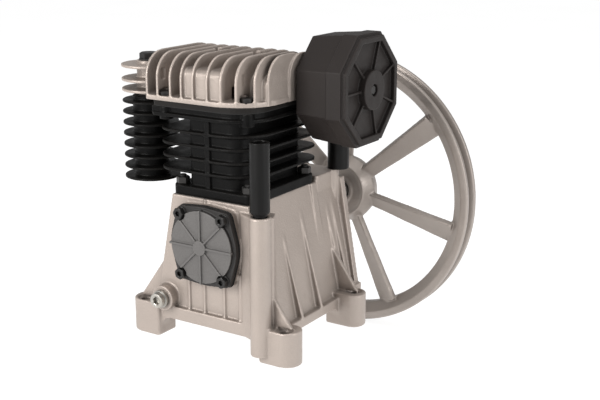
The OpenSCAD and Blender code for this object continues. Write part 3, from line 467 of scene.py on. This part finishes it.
def facing(spot, axis, turn):
    """Local Z along an axis of the row frame, turned about it in degrees and set on a point."""
    aim = axis.to_track_quat("Z", "Y").to_matrix().to_4x4()
    return Matrix.Translation(spot) @ aim @ Matrix.Rotation(math.radians(turn), 4, "Z")


def keep_creases(bm, angle):
    """Marks edges sharper than the angle, so that smooth shading leaves them crisp."""
    for edge in bm.edges:
        if len(edge.link_faces) == 2:
            edge.smooth = edge.calc_face_angle(0.0) < math.radians(angle)


def turned_set(name, node, axis, head, rings_for, turn=0.0, step=0.0):
    """One piece for all fasteners of a CAD node, each turned step degrees past the last.

    rings_for gives the rings of one fastener from the length of its shank."""
    bm = bmesh.new()
    for number, (low, high) in enumerate(islands(node)):
        spot, length = seated(low, high, axis, head)
        loft(bm, rings_for(length), facing(spot, axis, turn + step * number))
    bmesh.ops.recalc_face_normals(bm, faces=bm.faces)
    keep_creases(bm, 32)
    mesh = bpy.data.meshes.new(name)
    bm.to_mesh(mesh)
    bm.free()
    add_piece(name, mesh, node)


def hexagon_set(name, node, axis, head, turn=0.0, step=0.0, **form):
    turned_set(name, node, axis, head, lambda length: hexagon_rings(length, **form), turn, step)


# --- the pieces -------------------------------------------------------------------------------

for node, piece in NODES.items():
    piece.data.materials.clear()
    piece.data.materials.append(MATERIALS[SLOT_OF[node]])

# where a fin of the head closes again above a corner bolt: (x of the fin, y of the bolt) in mm
CUT_FINS = ((-61.5, -59), (-61.5, 42.5), (29, -50), (29, 40))
FIN_HALF_THICK, POCKET_HALF, BOLT_CLEAR_Z, CLOSED_TO_Z = 1.3, 8.2, 255.5, 265.0
CLOSED_FINS = [((x - FIN_HALF_THICK, y - POCKET_HALF, BOLT_CLEAR_Z),
                (x + FIN_HALF_THICK, y + POCKET_HALF, CLOSED_TO_Z)) for x, y in CUT_FINS]

# the voxel in mm and the rounds of smoothing suit the thinnest wall of each piece
rounded_copy("crankcase", 0.95, 4)
rounded_copy("cylinder_block", 0.85, 3)
rounded_copy("cylinder_head", 0.8, 3, added=CLOSED_FINS)
rounded_copy("cooler_column", 0.7, 3)
rounded_copy("flywheel", 0.9, 8, keep=0.6)
rounded_copy("front_cover", 0.5, 2)
rounded_copy("rear_carrier", 0.8, 3)
rounded_copy("filter_base", 0.7, 3)
rounded_copy("filter_cover", 0.6, 3)
rounded_copy("filler_tube", 0.5, 3)
rounded_copy("breather_tube", 0.6, 4)
rounded_copy("cover_gasket", 0.3, 1)

# lengths in mm, turns in degrees; head is the height of the head in the CAD
hexagon_set("head_bolts_turned", "head_bolts", UP, 5.5, step=17,
            across=12.6, height=5.35, shank_r=3.95, washer=(7.0, 1.0))
hexagon_set("base_nuts_turned", "base_nuts", UP, 8.5, step=23,
            across=12, height=6.5, shank_r=3.9, stud_r=3.6)
hexagon_set("cover_bolts_turned", "cover_bolts", FRONT, 7.0, turn=10, step=21,
            across=10.4, height=6.9, shank_r=2.95, washer=(6.4, 1.5), socket=(5.0, 3.6))
hexagon_set("carrier_bolts_turned", "carrier_bolts", BACK, 4.0, step=13,
            across=9.8, height=3.9, shank_r=2.95)
hexagon_set("wheel_bolt_turned", "flywheel_bolt", BACK, 5.5,
            across=13, height=5.4, shank_r=3.9)
hexagon_set("cooler_cap_turned", "cooler_bolt", UP, 8.0, turn=12,
            across=17, height=7.9, shank_r=4.3, washer=(10.4, 1.7))
PLUG_HEAD = 8.0
turned_set("drain_plug_turned", "oil_plug", FRONT, PLUG_HEAD,
           lambda length: drain_plug_rings(length, PLUG_HEAD), turn=12)


# --- stage, light and camera ------------------------------------------------------------------

def build_floor():
    """Pale floor that glows a little, so that it reads as white right up to the object."""
    half, gap, glow = 6.0, 0.0005, 0.87
    level = CAD_BOX[0].z - gap
    mesh = bpy.data.meshes.new("floor")
    corners = [(-half, -half), (half, -half), (half, half), (-half, half)]
    mesh.from_pydata([(x, y, level) for x, y in corners], [], [(0, 1, 2, 3)])
    floor = bpy.data.objects.new("floor", mesh)
    bpy.context.scene.collection.objects.link(floor)
    g = Graph("floor")
    tone = g.mix(g.ramp(g.noise(3, 2), 0.3, 0.7), (0.29, 0.29, 0.29), (0.31, 0.31, 0.31))
    g.feed(g.shader.inputs["Emission Color"], (1, 1, 1, 1))
    g.feed(g.shader.inputs["Emission Strength"], glow)
    mesh.materials.append(g.finish(tone, 1.0, 0.0, 0.0))


def build_world(seen, felt):
    """White surroundings: seen is their strength for the camera, felt for the object."""
    world = bpy.data.worlds.new("studio")
    bpy.context.scene.world = world
    world.use_nodes = True
    tree = world.node_tree
    tree.nodes.clear()
    path = tree.nodes.new("ShaderNodeLightPath")
    level = tree.nodes.new("ShaderNodeMapRange")
    level.inputs["To Min"].default_value = felt
    level.inputs["To Max"].default_value = seen
    glow = tree.nodes.new("ShaderNodeBackground")
    glow.inputs["Color"].default_value = (1, 1, 1, 1)
    out = tree.nodes.new("ShaderNodeOutputWorld")
    tree.links.new(path.outputs["Is Camera Ray"], level.inputs["Value"])
    tree.links.new(level.outputs["Result"], glow.inputs["Strength"])
    tree.links.new(glow.outputs["Background"], out.inputs["Surface"])


def softbox(name, place, size, power, colour=(1, 1, 1)):
    """Rectangular lamp of a power in watts, aimed at the middle of the object."""
    data = bpy.data.lights.new(name, "AREA")
    data.shape = "RECTANGLE"
    data.size, data.size_y = size
    data.energy = power
    data.color = colour
    lamp = bpy.data.objects.new(name, data)
    lamp.location = place
    lamp.rotation_euler = (LAMP_AIM - Vector(place)).to_track_quat("-Z", "Y").to_euler()
    bpy.context.scene.collection.objects.link(lamp)


def build_camera(place, azimuth, pitch, lens):
    """Camera at a place in metres, turned left and tipped down by degrees, its lens in mm."""
    data = bpy.data.cameras.new("camera")
    data.lens = lens
    data.sensor_width = 36
    data.clip_start, data.clip_end = 0.05, 50
    camera = bpy.data.objects.new("camera", data)
    camera.location = place
    camera.rotation_euler = (math.radians(90 - pitch), 0, math.radians(azimuth))
    bpy.context.scene.collection.objects.link(camera)
    bpy.context.scene.camera = camera


LAMP_AIM = Vector((0, 0, 0.15))
build_floor()
build_world(seen=1.0, felt=0.4)
softbox("key", (-0.5, -1.7, 0.8), size=(0.9, 1.1), power=30, colour=(1.0, 0.985, 0.97))
softbox("top", (0.2, 0.1, 1.7), size=(1.2, 1.2), power=9)
softbox("side", (1.9, 0.1, 0.7), size=(0.8, 1.2), power=15)
build_camera((0.6359, -0.8934, 0.4364), azimuth=32.75, pitch=15.29, lens=66.2)
bpy.context.scene.view_settings.view_transform = "Standard"
bpy.context.scene.view_settings.look = "None"
